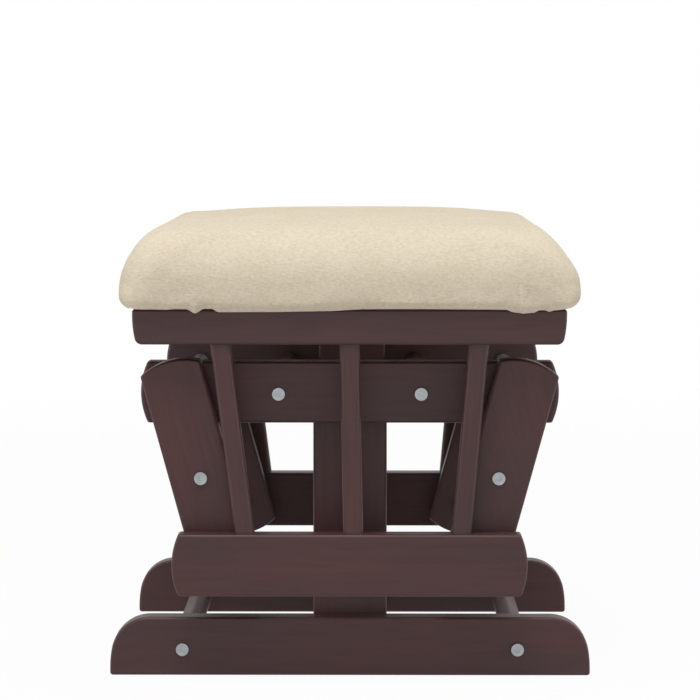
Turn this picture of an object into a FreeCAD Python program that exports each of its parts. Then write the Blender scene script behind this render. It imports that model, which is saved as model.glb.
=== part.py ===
"""Glider ottoman: a base, four swing arms and a cushioned seat frame that hangs from them.

X is the way the seat glides, Y runs from the front side frame to the rear one and Z is up.
The origin is on the floor under the middle of the ottoman. Sizes are in millimetres.
"""
import math
import os

import FreeCAD
import Part
import Sketcher

SIDES = ("front", "rear")
# Each end of the ottoman and the sign of its X.
HANDS = (("left", "-"), ("right", ""))
# Each spindle of a side frame and its place in steps of the spacing.
SPINDLES = (("left", "-1"), ("middle", "0"), ("right", "1"))

# Sections of the upholstered pad: how many there are along each stretch of its side.
LOWER_STEPS = 2
SHOULDER_STEPS = 6
SHOULDER_TURN = 77
CROWN_STEPS = 7

# Two levels closer than this are the same level.
LEVEL_TOLERANCE = 1e-4

# Driving dimensions: alias and value.
SIZES = (
    # Base side frames
    ("base_depth", 340.0),
    ("base_thickness", 22.0),
    ("foot_rail_length", 400.0),
    ("foot_rail_height", 49.0),
    ("foot_end_straight", 6.0),
    ("foot_end_radius", 90.0),
    ("foot_corner_radius", 32.0),
    ("top_rail_length", 346.0),
    ("top_rail_height", 51.0),
    ("top_rail_bottom", 211.5),
    ("top_rail_end_radius", 60.0),
    ("post_width", 61.5),
    ("post_thickness", 22.0),
    ("post_inset", 6.0),
    ("edge_round", 2.5),
    # Stretcher rods and their connector bolts
    ("stretcher_diameter", 20.0),
    ("foot_stretcher_inset", 60.5),
    ("foot_stretcher_height", 22.0),
    ("top_stretcher_reach", 59.0),
    ("top_stretcher_drop", 1.5),
    ("cap_head_diameter", 10.6),
    ("cap_head_height", 2.6),
    ("cap_shank_diameter", 5.8),
    ("cap_grip", 12.0),
    ("cap_socket_across", 4.6),
    ("rod_insert_diameter", 9.0),
    ("rod_insert_length", 15.0),
    ("fit_clearance", 0.1),
    # Post screws
    ("screw_head_diameter", 8.0),
    ("screw_head_height", 2.6),
    ("screw_shank_diameter", 4.0),
    ("screw_bite", 14.0),
    ("post_screw_spread", 32.0),
    ("post_screw_drop", 7.0),
    # Swing arms and their pivots
    ("side_gap", 4.0),
    ("arm_thickness", 22.0),
    ("arm_width", 51.0),
    ("arm_end", 29.0),
    ("arm_end_radius", 53.0),
    ("upper_pivot_reach", 141.0),
    ("lower_pivot_reach", 103.5),
    ("pivot_head_diameter", 14.0),
    ("pivot_head_height", 3.0),
    ("pivot_shank_diameter", 8.0),
    ("pivot_socket_across", 6.9),
    ("pivot_grip", 13.0),
    ("running_clearance", 0.05),
    ("side_clearance", 0.3),
    ("bush_diameter", 12.0),
    ("bush_flange_diameter", 20.0),
    ("pivot_insert_diameter", 12.0),
    ("pivot_insert_length", 15.0),
    ("open_pivot_play", 9.5),
    # Seat side frames
    ("seat_thickness", 22.0),
    ("seat_low_rail_length", 290.0),
    ("seat_low_rail_height", 51.0),
    ("seat_low_rail_bottom", 74.5),
    ("seat_low_rail_end_radius", 62.0),
    ("seat_clear_height", 154.8),
    ("seat_top_rail_length", 352.0),
    ("seat_top_rail_height", 28.7),
    ("seat_top_end_straight", 5.0),
    ("seat_top_end_radius", 90.0),
    ("seat_top_corner_radius", 6.0),
    ("spindle_width", 16.0),
    ("spindle_thickness", 16.0),
    ("spindle_round", 4.5),
    ("spindle_top_pitch", 105.0),
    ("spindle_bottom_pitch", 88.5),
    ("spindle_bottom_shift", 3.0),
    ("tenon_diameter", 10.0),
    ("tenon_length", 12.0),
    # Cross rails of the seat and their dowels
    ("cross_rail_reach", 140.0),
    ("cross_rail_thickness", 22.0),
    ("cross_rail_round", 1.5),
    ("dowel_diameter", 8.0),
    ("dowel_bite", 12.0),
    ("dowel_seat", 18.0),
    ("dowel_spread", 12.0),
    # Upholstered pad
    ("pad_overhang", 12.0),
    ("pad_height", 74.5),
    ("pad_belly_height", 18.0),
    ("pad_shoulder", 48.0),
    ("pad_crown", 9.5),
    ("pad_crown_run", 135.0),
    ("pad_corner_radius", 30.0),
    ("pad_corner_ease", 40.0),
    ("pad_seat_gap", 0.3),
    ("cover_thickness", 1.5),
    ("panel_thickness", 12.0),
    ("panel_margin", 6.0),
    ("panel_screw_reach", 130.0),
    ("panel_screw_bite", 9.0),
)

doc = FreeCAD.newDocument("GliderOttoman")
sheet = doc.addObject("Spreadsheet::Sheet", "Sizes")
for row, (alias, size) in enumerate(SIZES, start=1):
    sheet.set(f"A{row}", alias)
    sheet.set(f"B{row}", str(size))
    sheet.setAlias(f"B{row}", alias)
doc.recompute()

# Places worked out from the sizes, as expressions that other expressions use.
BASE_OUT = "(Sizes.base_depth / 2)"
BASE_IN = "(Sizes.base_depth / 2 - Sizes.base_thickness)"
POST_IN = f"({BASE_IN} - Sizes.post_thickness)"
ARM_IN = f"({BASE_OUT} + Sizes.side_gap)"
ARM_OUT = f"({ARM_IN} + Sizes.arm_thickness)"
SEAT_IN = f"({ARM_OUT} + Sizes.side_gap)"
SEAT_OUT = f"({SEAT_IN} + Sizes.seat_thickness)"
TOP_RAIL_MIDDLE = "(Sizes.top_rail_bottom + Sizes.top_rail_height / 2)"
TOP_RAIL_TOP = "(Sizes.top_rail_bottom + Sizes.top_rail_height)"
LOW_RAIL_MIDDLE = "(Sizes.seat_low_rail_bottom + Sizes.seat_low_rail_height / 2)"
LOW_RAIL_TOP = "(Sizes.seat_low_rail_bottom + Sizes.seat_low_rail_height)"
SEAT_RAIL_BOTTOM = f"({LOW_RAIL_TOP} + Sizes.seat_clear_height)"
SEAT_RAIL_TOP = f"({SEAT_RAIL_BOTTOM} + Sizes.seat_top_rail_height)"
PIVOT_RUN = "(Sizes.upper_pivot_reach - Sizes.lower_pivot_reach)"
PIVOT_RISE = f"({TOP_RAIL_MIDDLE} - {LOW_RAIL_MIDDLE})"
PIVOT_SPACING = f"sqrt({PIVOT_RUN} * {PIVOT_RUN} + {PIVOT_RISE} * {PIVOT_RISE})"
ARM_LENGTH = f"({PIVOT_SPACING} + 2 * Sizes.arm_end)"
ARM_LEAN = f"atan({PIVOT_RUN} / {PIVOT_RISE})"
ARM_MIDDLE_REACH = "((Sizes.upper_pivot_reach + Sizes.lower_pivot_reach) / 2)"
ARM_MIDDLE_HEIGHT = f"(({TOP_RAIL_MIDDLE} + {LOW_RAIL_MIDDLE}) / 2)"
CROSS_RAIL_MIDDLE = f"(({SEAT_RAIL_BOTTOM} + {SEAT_RAIL_TOP}) / 2)"
PAD_BOTTOM = f"({SEAT_RAIL_TOP} + Sizes.pad_seat_gap)"
PANEL_BOTTOM = f"({PAD_BOTTOM} + Sizes.cover_thickness)"

# Bores that a bolt passes through.
ROD_HOLE = "(Sizes.cap_shank_diameter + 2 * Sizes.fit_clearance)"
PIVOT_BORE = "(Sizes.pivot_shank_diameter + 2 * Sizes.running_clearance)"


def signed(sign, expression):
    """Expression on the right, or mirrored to the left."""
    return expression if sign == "" else f"-({expression})"


# Reach and height of the base's rods and screws, and reach and depth of the panel's screws.
FOOT_ROD = ("(Sizes.foot_rail_length / 2 - Sizes.foot_stretcher_inset)", "Sizes.foot_stretcher_height")
TOP_ROD = ("Sizes.top_stretcher_reach", f"({TOP_RAIL_MIDDLE} - Sizes.top_stretcher_drop)")
FOOT_SCREW_HEIGHT = "Sizes.foot_stretcher_height"
TOP_SCREW_HEIGHT = f"({TOP_RAIL_MIDDLE} - Sizes.post_screw_drop)"
POST_SCREW_SPOTS = tuple(
    (f"{sign}(Sizes.post_screw_spread / 2)", height)
    for _, sign in HANDS
    for height in (FOOT_SCREW_HEIGHT, TOP_SCREW_HEIGHT)
)
PANEL_SCREW_SPOTS = tuple(
    (signed(sign, "Sizes.cross_rail_reach"), f"{way}Sizes.panel_screw_reach")
    for _, sign in HANDS
    for way in ("-", "")
)

parts = {}


def keep(label, shape_object):
    """Name a finished sub-part; its label names its file."""
    shape_object.Label = label
    parts[label] = shape_object
    return shape_object


def add(kind, **sizes):
    """Add an object and bind its properties to expressions."""
    made = doc.addObject(kind, kind.split("::")[-1])
    for name, expression in sizes.items():
        made.setExpression(name, expression)
    return made


def number(expression):
    """Value of an expression at the sheet's present sizes."""
    found = sheet.evalExpression(expression)
    return float(getattr(found, "Value", found))


def place(made, reach, across, height, axis="1; 0; 0", angle="0"):
    """Bind an object's placement."""
    made.setExpression(
        "Placement",
        f"placement(vector({reach}; {across}; {height}); rotation(vector({axis}); {angle}))",
    )


def cut(base, *tools):
    """Base with the tools taken away."""
    made = doc.addObject("Part::Cut", "Cut")
    made.Base = base
    made.Tool = tools[0] if len(tools) == 1 else fuse(*tools)
    return made


def fuse(*pieces):
    """Pieces joined into one solid."""
    made = doc.addObject("Part::MultiFuse", "Fuse")
    made.Shapes = list(pieces)
    return made


def group(label, pieces):
    """Like pieces kept as separate solids of one sub-part."""
    made = doc.addObject("Part::Compound", "Group")
    made.Links = list(pieces)
    return keep(label, made)


def pin(diameter, reach, height, side, near, far):
    """Round bar along Y, from one distance off the middle plane to another."""
    made = add("Part::Cylinder", Radius=f"({diameter}) / 2", Height=f"({far}) - ({near})")
    start = near if side == "rear" else f"-({far})"
    place(made, reach, start, height, angle="-90")
    return made


def hexagon(across, reach, height, side, near, far):
    """Six-sided bar along Y, measured over its corners."""
    made = add("Part::Prism", Circumradius=f"({across}) / 2", Height=f"({far}) - ({near})")
    made.Polygon = 6
    start = near if side == "rear" else f"-({far})"
    place(made, reach, start, height, angle="-90")
    return made


def plane_sketch(body, role, offset=None):
    """Sketch on one of the body's own origin planes."""
    sketch = body.newObject("Sketcher::SketchObject", "Sketch")
    plane = next(item for item in body.Origin.OriginFeatures if item.Role == role)
    sketch.AttachmentSupport = [(plane, "")]
    sketch.MapMode = "FlatFace"
    if offset:
        sketch.setExpression(".AttachmentOffset.Base.z", offset)
    return sketch


def limit(sketch, kind, *geometry, by):
    """Dimension of a sketch, bound to an expression."""
    index = sketch.addConstraint(Sketcher.Constraint(kind, *geometry, number(by)))
    sketch.setExpression(f"Constraints[{index}]", by)


def board_body(profile, thickness, corners="", corner_radius="", edge_radius="Sizes.edge_round"):
    """Body that pads a profile in X and Z to both sides of its own middle plane."""
    body = doc.addObject("PartDesign::Body", "Board")
    sketch = plane_sketch(body, "XZ_Plane")
    profile(sketch)
    pad = body.newObject("PartDesign::Pad", "Pad")
    pad.Profile = sketch
    pad.Midplane = True
    pad.setExpression("Length", thickness)
    doc.recompute()
    feature = pad
    if corners:
        feature = body.newObject("PartDesign::Fillet", "Corners")
        feature.Base = (pad, far_corners(pad.Shape, corners))
        feature.setExpression("Radius", corner_radius)
        doc.recompute()
    edges = body.newObject("PartDesign::Fillet", "EdgeRound")
    edges.Base = (feature, [f"Edge{index + 1}" for index in range(len(feature.Shape.Edges))])
    edges.setExpression("Radius", edge_radius)
    return body


def far_corners(shape, level):
    """Names of the corner edges along Y that lie at a level."""
    height = number(level)
    names = []
    for index, edge in enumerate(shape.Edges, start=1):
        box = edge.BoundBox
        if max(abs(box.ZMin - height), abs(box.ZMax - height), box.XLength) < LEVEL_TOLERANCE:
            names.append(f"Edge{index}")
    return names


def bowed_profile(length, height, radius):
    """Straight board with bowed ends, centred on the origin."""
    def draw(sketch):
        bow = number(radius)
        centre = number(length) / 2 - bow
        top = number(height) / 2
        angle = math.asin(top / bow)
        up = FreeCAD.Vector(0, 0, 1)
        right = Part.ArcOfCircle(Part.Circle(FreeCAD.Vector(centre, 0, 0), up, bow), -angle, angle)
        left = Part.ArcOfCircle(
            Part.Circle(FreeCAD.Vector(-centre, 0, 0), up, bow), math.pi - angle, math.pi + angle
        )
        over = Part.LineSegment(right.EndPoint, left.StartPoint)
        under = Part.LineSegment(left.EndPoint, right.StartPoint)
        a, b, c, d = (sketch.addGeometry(item, False) for item in (right, over, left, under))
        for first, second in ((a, b), (b, c), (c, d), (d, a)):
            sketch.addConstraint(Sketcher.Constraint("Coincident", first, 2, second, 1))
        for line in (b, d):
            sketch.addConstraint(Sketcher.Constraint("Horizontal", line))
        for arc, sign in ((a, ""), (c, "-")):
            sketch.addConstraint(Sketcher.Constraint("PointOnObject", arc, 3, -1))
            limit(sketch, "DistanceX", -1, 1, arc, 3, by=f"{sign}({length} / 2 - {radius})")
            limit(sketch, "Radius", arc, by=radius)
        for line, sign in ((b, ""), (d, "-")):
            limit(sketch, "DistanceY", -1, 1, line, 1, by=f"{sign}({height} / 2)")
    return draw


def shouldered_profile(length, height, straight, radius, sign):
    """Board with a flat edge at the origin whose ends draw in towards the other edge.

    The sign is "" where that other edge is above the flat one and "-" where it is below.
    """
    def draw(sketch):
        bow = number(radius)
        centre = number(length) / 2 - bow
        turn = -1 if sign else 1
        start = turn * number(straight)
        end = turn * number(height)
        angle = math.asin(abs(end - start) / bow)
        up = FreeCAD.Vector(0, 0, 1)
        half = number(length) / 2
        far = centre + bow * math.cos(angle)
        right_circle = Part.Circle(FreeCAD.Vector(centre, start, 0), up, bow)
        left_circle = Part.Circle(FreeCAD.Vector(-centre, start, 0), up, bow)
        if turn > 0:
            right = Part.ArcOfCircle(right_circle, 0, angle)
            left = Part.ArcOfCircle(left_circle, math.pi - angle, math.pi)
        else:
            right = Part.ArcOfCircle(right_circle, -angle, 0)
            left = Part.ArcOfCircle(left_circle, math.pi, math.pi + angle)
        near_end, far_end = (1, 2) if turn > 0 else (2, 1)
        flat = Part.LineSegment(FreeCAD.Vector(-half, 0, 0), FreeCAD.Vector(half, 0, 0))
        right_side = Part.LineSegment(FreeCAD.Vector(half, 0, 0), FreeCAD.Vector(half, start, 0))
        over = Part.LineSegment(FreeCAD.Vector(far, end, 0), FreeCAD.Vector(-far, end, 0))
        left_side = Part.LineSegment(FreeCAD.Vector(-half, start, 0), FreeCAD.Vector(-half, 0, 0))
        names = (flat, right_side, right, over, left, left_side)
        a, b, c, d, e, f = (sketch.addGeometry(item, False) for item in names)
        sketch.addConstraint(Sketcher.Constraint("Coincident", a, 2, b, 1))
        sketch.addConstraint(Sketcher.Constraint("Tangent", b, 2, c, near_end))
        sketch.addConstraint(Sketcher.Constraint("Coincident", c, far_end, d, 1))
        sketch.addConstraint(Sketcher.Constraint("Coincident", d, 2, e, near_end))
        sketch.addConstraint(Sketcher.Constraint("Tangent", e, far_end, f, 1))
        sketch.addConstraint(Sketcher.Constraint("Coincident", f, 2, a, 1))
        for line in (a, d):
            sketch.addConstraint(Sketcher.Constraint("Horizontal", line))
        for line in (b, f):
            sketch.addConstraint(Sketcher.Constraint("Vertical", line))
        sketch.addConstraint(Sketcher.Constraint("PointOnObject", a, 1, -1))
        for arc, way in ((c, ""), (e, "-")):
            limit(sketch, "DistanceX", -1, 1, arc, 3, by=f"{way}({length} / 2 - {radius})")
            limit(sketch, "DistanceY", -1, 1, arc, 3, by=f"{sign}({straight})")
            limit(sketch, "Radius", arc, by=radius)
        limit(sketch, "DistanceY", -1, 1, d, 1, by=f"{sign}({height})")
    return draw


def bar_profile(wide, tall):
    """Rectangle centred on the origin."""
    def draw(sketch):
        half_wide = number(wide) / 2
        half_tall = number(tall) / 2
        corners = (
            FreeCAD.Vector(-half_wide, -half_tall, 0),
            FreeCAD.Vector(half_wide, -half_tall, 0),
            FreeCAD.Vector(half_wide, half_tall, 0),
            FreeCAD.Vector(-half_wide, half_tall, 0),
        )
        lines = []
        for start, end in zip(corners, corners[1:] + corners[:1]):
            lines.append(sketch.addGeometry(Part.LineSegment(start, end), False))
        for first, second in zip(lines, lines[1:] + lines[:1]):
            sketch.addConstraint(Sketcher.Constraint("Coincident", first, 2, second, 1))
        for line, kind in zip(lines, ("Horizontal", "Vertical", "Horizontal", "Vertical")):
            sketch.addConstraint(Sketcher.Constraint(kind, line))
        limit(sketch, "DistanceX", -1, 1, lines[0], 1, by=f"-({wide} / 2)")
        limit(sketch, "DistanceY", -1, 1, lines[0], 1, by=f"-({tall} / 2)")
        limit(sketch, "DistanceX", -1, 1, lines[2], 1, by=f"{wide} / 2")
        limit(sketch, "DistanceY", -1, 1, lines[2], 1, by=f"{tall} / 2")
    return draw


def place_board(body, side, near, far, height, reach="0", angle="0"):
    """Stand a board in its side frame; its thickness fills the span from near to far."""
    sign = "" if side == "rear" else "-"
    middle = f"{sign}(({near} + {far}) / 2)"
    place(body, reach, middle, height, axis="0; 1; 0", angle=angle)
    return body


def socket_bolt(sizes, reach, height, side, seat, tip):
    """Bolt along Y with a round flat head and a six-sided socket.

    The head bears on the seat face and lies on the side away from the tip.
    """
    outward = number(seat) > number(tip)
    head_height = f"Sizes.{sizes}_head_height"
    socket_depth = f"({head_height} / 2)"
    if outward:
        head = pin(f"Sizes.{sizes}_head_diameter", reach, height, side, seat, f"{seat} + {head_height}")
        shank = pin(f"Sizes.{sizes}_shank_diameter", reach, height, side, tip, seat)
        recess = hexagon(
            f"Sizes.{sizes}_socket_across", reach, height, side,
            f"{seat} + {head_height} - {socket_depth}", f"{seat} + {head_height}",
        )
    else:
        head = pin(f"Sizes.{sizes}_head_diameter", reach, height, side, f"{seat} - {head_height}", seat)
        shank = pin(f"Sizes.{sizes}_shank_diameter", reach, height, side, seat, tip)
        recess = hexagon(
            f"Sizes.{sizes}_socket_across", reach, height, side,
            f"{seat} - {head_height}", f"{seat} - {head_height} + {socket_depth}",
        )
    return cut(fuse(head, shank), recess)


def insert(outer, bore, reach, height, side, near, far):
    """Threaded insert, drawn with a plain bore."""
    return cut(
        pin(outer, reach, height, side, near, far),
        pin(bore, reach, height, side, near, far),
    )


def countersunk(reach, height, side, seat, tip):
    """Wood screw along Y whose flat head lies flush with the seat face, or its hole."""
    wide = "Sizes.screw_head_diameter / 2"
    narrow = "Sizes.screw_shank_diameter / 2"
    neck = f"{seat} + Sizes.screw_head_height"
    if side == "rear":
        head = add("Part::Cone", Radius1=wide, Radius2=narrow, Height="Sizes.screw_head_height")
        place(head, reach, seat, height, angle="-90")
    else:
        head = add("Part::Cone", Radius1=narrow, Radius2=wide, Height="Sizes.screw_head_height")
        place(head, reach, f"-({neck})", height, angle="-90")
    return fuse(head, pin("Sizes.screw_shank_diameter", reach, height, side, neck, tip))


def stretcher(label, reach, height, end):
    """Round rod between two boards, bored at both ends for its inserts."""
    rod = add("Part::Cylinder", Radius="Sizes.stretcher_diameter / 2", Height=f"2 * {end}")
    place(rod, reach, f"-{end}", height, angle="-90")
    bores = [
        pin("Sizes.rod_insert_diameter", reach, height, side, f"{end} - Sizes.rod_insert_length", end)
        for side in SIDES
    ]
    keep(label, cut(rod, *bores))


def rod_ends(name, spots, near, far):
    """Connector bolts and inserts for rods that end between boards."""
    bolts = []
    inserts = []
    for reach, height in spots:
        for side in SIDES:
            bolts.append(socket_bolt("cap", reach, height, side, far, f"{near} - Sizes.cap_grip"))
            inserts.append(insert(
                "Sizes.rod_insert_diameter", ROD_HOLE, reach, height, side,
                f"{near} - Sizes.rod_insert_length", near,
            ))
    group(f"{name}_bolts", bolts)
    group(f"{name}_inserts", inserts)


def make_base():
    """Two side frames, each a foot rail, a post and a top rail, tied by four rods."""
    for side in SIDES:
        foot = board_body(
            shouldered_profile(
                "Sizes.foot_rail_length", "Sizes.foot_rail_height",
                "Sizes.foot_end_straight", "Sizes.foot_end_radius", "",
            ),
            "Sizes.base_thickness", "Sizes.foot_rail_height", "Sizes.foot_corner_radius",
        )
        place_board(foot, side, BASE_IN, BASE_OUT, height="0")
        top = board_body(
            bowed_profile("Sizes.top_rail_length", "Sizes.top_rail_height", "Sizes.top_rail_end_radius"),
            "Sizes.base_thickness",
        )
        place_board(top, side, BASE_IN, BASE_OUT, TOP_RAIL_MIDDLE)
        post = board_body(
            bar_profile("Sizes.post_width", f"({TOP_RAIL_TOP} - 2 * Sizes.post_inset)"),
            "Sizes.post_thickness",
        )
        place_board(post, side, POST_IN, BASE_IN, f"({TOP_RAIL_TOP} / 2)")

        foot_cutters = []
        top_cutters = []
        for _, sign in HANDS:
            reach, height = FOOT_ROD
            foot_cutters.append(pin(ROD_HOLE, signed(sign, reach), height, side, BASE_IN, BASE_OUT))
            reach, height = TOP_ROD
            top_cutters.append(pin(ROD_HOLE, signed(sign, reach), height, side, BASE_IN, BASE_OUT))
            top_cutters.append(pin(
                "Sizes.bush_diameter", signed(sign, "Sizes.upper_pivot_reach"), TOP_RAIL_MIDDLE,
                side, BASE_IN, BASE_OUT,
            ))
        post_cutters = []
        for reach, height in POST_SCREW_SPOTS:
            tip = f"({BASE_IN} + Sizes.screw_bite)"
            post_cutters.append(countersunk(reach, height, side, POST_IN, tip))
            bite = pin("Sizes.screw_shank_diameter", reach, height, side, BASE_IN, tip)
            rail_cutters = foot_cutters if height == FOOT_SCREW_HEIGHT else top_cutters
            rail_cutters.append(bite)
        keep(f"{side}_foot_rail", cut(foot, *foot_cutters))
        keep(f"{side}_top_rail", cut(top, *top_cutters))
        keep(f"{side}_post", cut(post, *post_cutters))

    for hand, sign in HANDS:
        stretcher(f"{hand}_foot_stretcher", signed(sign, FOOT_ROD[0]), FOOT_ROD[1], BASE_IN)
        stretcher(f"{hand}_top_stretcher", signed(sign, TOP_ROD[0]), TOP_ROD[1], BASE_IN)
    for name, (reach, height) in (("foot_stretcher", FOOT_ROD), ("top_stretcher", TOP_ROD)):
        rod_ends(name, [(signed(sign, reach), height) for _, sign in HANDS], BASE_IN, BASE_OUT)

    group("post_screws", [
        countersunk(reach, height, side, POST_IN, f"({BASE_IN} + Sizes.screw_bite)")
        for side in SIDES
        for reach, height in POST_SCREW_SPOTS
    ])
    group("upper_pivot_bushes", [
        bush(signed(sign, "Sizes.upper_pivot_reach"), TOP_RAIL_MIDDLE, side, BASE_IN, BASE_OUT)
        for side in SIDES
        for _, sign in HANDS
    ])


def bush(reach, height, side, near, far):
    """Bush through a board, with a flange in the gap to the next board."""
    flange_far = f"({far} + Sizes.side_gap - Sizes.side_clearance)"
    body = fuse(
        pin("Sizes.bush_diameter", reach, height, side, near, far),
        pin("Sizes.bush_flange_diameter", reach, height, side, far, flange_far),
    )
    return cut(body, pin(PIVOT_BORE, reach, height, side, near, flange_far))


def make_arms(hand, sign):
    """Front and rear swing arm of one end, tied by a rod in their middle."""
    middle = signed(sign, ARM_MIDDLE_REACH)
    upper = signed(sign, "Sizes.upper_pivot_reach")
    lower = signed(sign, "Sizes.lower_pivot_reach")
    turn = f"-90 deg - {ARM_LEAN}" if sign else f"-90 deg + {ARM_LEAN}"
    insert_far = f"({ARM_IN} + Sizes.pivot_insert_length)"
    for side in SIDES:
        arm = board_body(
            bowed_profile(ARM_LENGTH, "Sizes.arm_width", "Sizes.arm_end_radius"), "Sizes.arm_thickness"
        )
        place_board(arm, side, ARM_IN, ARM_OUT, ARM_MIDDLE_HEIGHT, reach=middle, angle=turn)
        keep(f"{side}_{hand}_arm", cut(
            arm,
            pin("Sizes.pivot_insert_diameter", upper, TOP_RAIL_MIDDLE, side, ARM_IN, insert_far),
            pin(ROD_HOLE, middle, ARM_MIDDLE_HEIGHT, side, ARM_IN, ARM_OUT),
            pin("Sizes.bush_diameter", lower, LOW_RAIL_MIDDLE, side, ARM_IN, ARM_OUT),
        ))
    stretcher(f"{hand}_arm_rod", middle, ARM_MIDDLE_HEIGHT, ARM_IN)
    rod_ends(f"{hand}_arm_rod", [(middle, ARM_MIDDLE_HEIGHT)], ARM_IN, ARM_OUT)
    group(f"{hand}_upper_pivot_bolts", [
        socket_bolt(
            "pivot", upper, TOP_RAIL_MIDDLE, side,
            f"({BASE_IN} - Sizes.side_clearance)", f"({ARM_IN} + Sizes.pivot_grip)",
        )
        for side in SIDES
    ])
    group(f"{hand}_upper_pivot_inserts", [
        insert(
            "Sizes.pivot_insert_diameter", PIVOT_BORE, upper, TOP_RAIL_MIDDLE, side, ARM_IN, insert_far
        )
        for side in SIDES
    ])
    group(f"{hand}_lower_pivot_bushes", [
        bush(lower, LOW_RAIL_MIDDLE, side, ARM_IN, ARM_OUT) for side in SIDES
    ])
    group(f"{hand}_lower_pivot_bolts", [
        socket_bolt(
            "pivot", lower, LOW_RAIL_MIDDLE, side,
            f"({ARM_IN} - Sizes.side_clearance)", f"({SEAT_IN} + Sizes.pivot_grip)",
        )
        for side in SIDES
    ])


def spindle_place(made, step, side, height):
    """Stand a piece along its spindle's leaning line, at a height on that line."""
    top = f"({step} * Sizes.spindle_top_pitch)"
    bottom = f"({step} * Sizes.spindle_bottom_pitch + Sizes.spindle_bottom_shift)"
    lean = f"atan(({top} - {bottom}) / Sizes.seat_clear_height)"
    reach = f"({bottom} + ({top} - {bottom}) * ({height} - {LOW_RAIL_TOP}) / Sizes.seat_clear_height)"
    across = f"({SEAT_IN} + {SEAT_OUT}) / 2"
    if side == "front":
        across = f"-({across})"
    place(made, reach, across, height, axis="0; 1; 0", angle=lean)
    return made


def tenons(step, side, extra):
    """Round tenons at both ends of a spindle, or the holes for them."""
    made = []
    for height in (f"({LOW_RAIL_TOP} - Sizes.tenon_length)", f"({SEAT_RAIL_BOTTOM} - Sizes.tenon_length)"):
        tenon = add(
            "Part::Cylinder",
            Radius=f"Sizes.tenon_diameter / 2 + {extra}",
            Height="2 * Sizes.tenon_length",
        )
        made.append(spindle_place(tenon, step, side, height))
    return made


def make_side_frame(side):
    """Seat side frame: low rail, three spindles and top rail."""
    low = board_body(
        bowed_profile(
            "Sizes.seat_low_rail_length", "Sizes.seat_low_rail_height", "Sizes.seat_low_rail_end_radius"
        ),
        "Sizes.seat_thickness",
    )
    place_board(low, side, SEAT_IN, SEAT_OUT, LOW_RAIL_MIDDLE)
    top = board_body(
        shouldered_profile(
            "Sizes.seat_top_rail_length", "Sizes.seat_top_rail_height",
            "Sizes.seat_top_end_straight", "Sizes.seat_top_end_radius", "-",
        ),
        "Sizes.seat_thickness", "-Sizes.seat_top_rail_height", "Sizes.seat_top_corner_radius",
    )
    place_board(top, side, SEAT_IN, SEAT_OUT, SEAT_RAIL_TOP)
    pocket_far = f"({SEAT_IN} + Sizes.pivot_insert_length)"
    open_pocket = "(Sizes.pivot_shank_diameter + 2 * Sizes.open_pivot_play)"
    low_cutters = [
        pin(
            "Sizes.pivot_insert_diameter", "-Sizes.lower_pivot_reach", LOW_RAIL_MIDDLE, side,
            SEAT_IN, pocket_far,
        ),
        pin(open_pocket, "Sizes.lower_pivot_reach", LOW_RAIL_MIDDLE, side, SEAT_IN, pocket_far),
    ]
    top_cutters = [dowel(sign, spread, side) for _, sign in HANDS for spread in ("-", "+")]
    sign = "" if side == "rear" else "-"
    window_start = f"{sign}({SEAT_IN} + {SEAT_OUT}) / 2 - Sizes.seat_thickness"
    for spindle, step in SPINDLES:
        cutters = tenons(step, side, "Sizes.fit_clearance")
        low_cutters.append(cutters[0])
        top_cutters.append(cutters[1])
        blank = board_body(
            bar_profile("Sizes.spindle_width", "(Sizes.seat_clear_height + 2 * Sizes.spindle_width)"),
            "Sizes.spindle_thickness",
            edge_radius="Sizes.spindle_round",
        )
        spindle_place(blank, step, side, f"({LOW_RAIL_TOP} + Sizes.seat_clear_height / 2)")
        window = add(
            "Part::Box",
            Length="Sizes.seat_top_rail_length",
            Width="2 * Sizes.seat_thickness",
            Height="Sizes.seat_clear_height",
        )
        place(window, "-Sizes.seat_top_rail_length / 2", window_start, LOW_RAIL_TOP)
        trimmed = doc.addObject("Part::MultiCommon", "Trimmed")
        trimmed.Shapes = [blank, window]
        keep(f"{side}_{spindle}_spindle", fuse(trimmed, *tenons(step, side, "0")))
    keep(f"{side}_seat_low_rail", cut(low, *low_cutters))
    keep(f"{side}_seat_top_rail", cut(top, *top_cutters))


def dowel(sign, spread, side):
    """Dowel between a cross rail's end and a top rail, or the hole for one."""
    height = f"({CROSS_RAIL_MIDDLE} {spread} Sizes.dowel_spread / 2)"
    return pin(
        "Sizes.dowel_diameter", signed(sign, "Sizes.cross_rail_reach"), height, side,
        f"({SEAT_IN} - Sizes.dowel_seat)", f"({SEAT_IN} + Sizes.dowel_bite)",
    )


def panel_screw(extra, reach, across):
    """Wood screw up through a cross rail into the pad's panel, or the hole for one."""
    head = add(
        "Part::Cone",
        Radius1=f"Sizes.screw_head_diameter / 2 + {extra}",
        Radius2=f"Sizes.screw_shank_diameter / 2 + {extra}",
        Height="Sizes.screw_head_height",
    )
    place(head, reach, across, SEAT_RAIL_BOTTOM)
    shank_start = f"({SEAT_RAIL_BOTTOM} + Sizes.screw_head_height)"
    shank = add(
        "Part::Cylinder",
        Radius=f"Sizes.screw_shank_diameter / 2 + {extra}",
        Height=f"{PANEL_BOTTOM} + Sizes.panel_screw_bite - {shank_start}",
    )
    place(shank, reach, across, shank_start)
    return fuse(head, shank)


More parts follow.
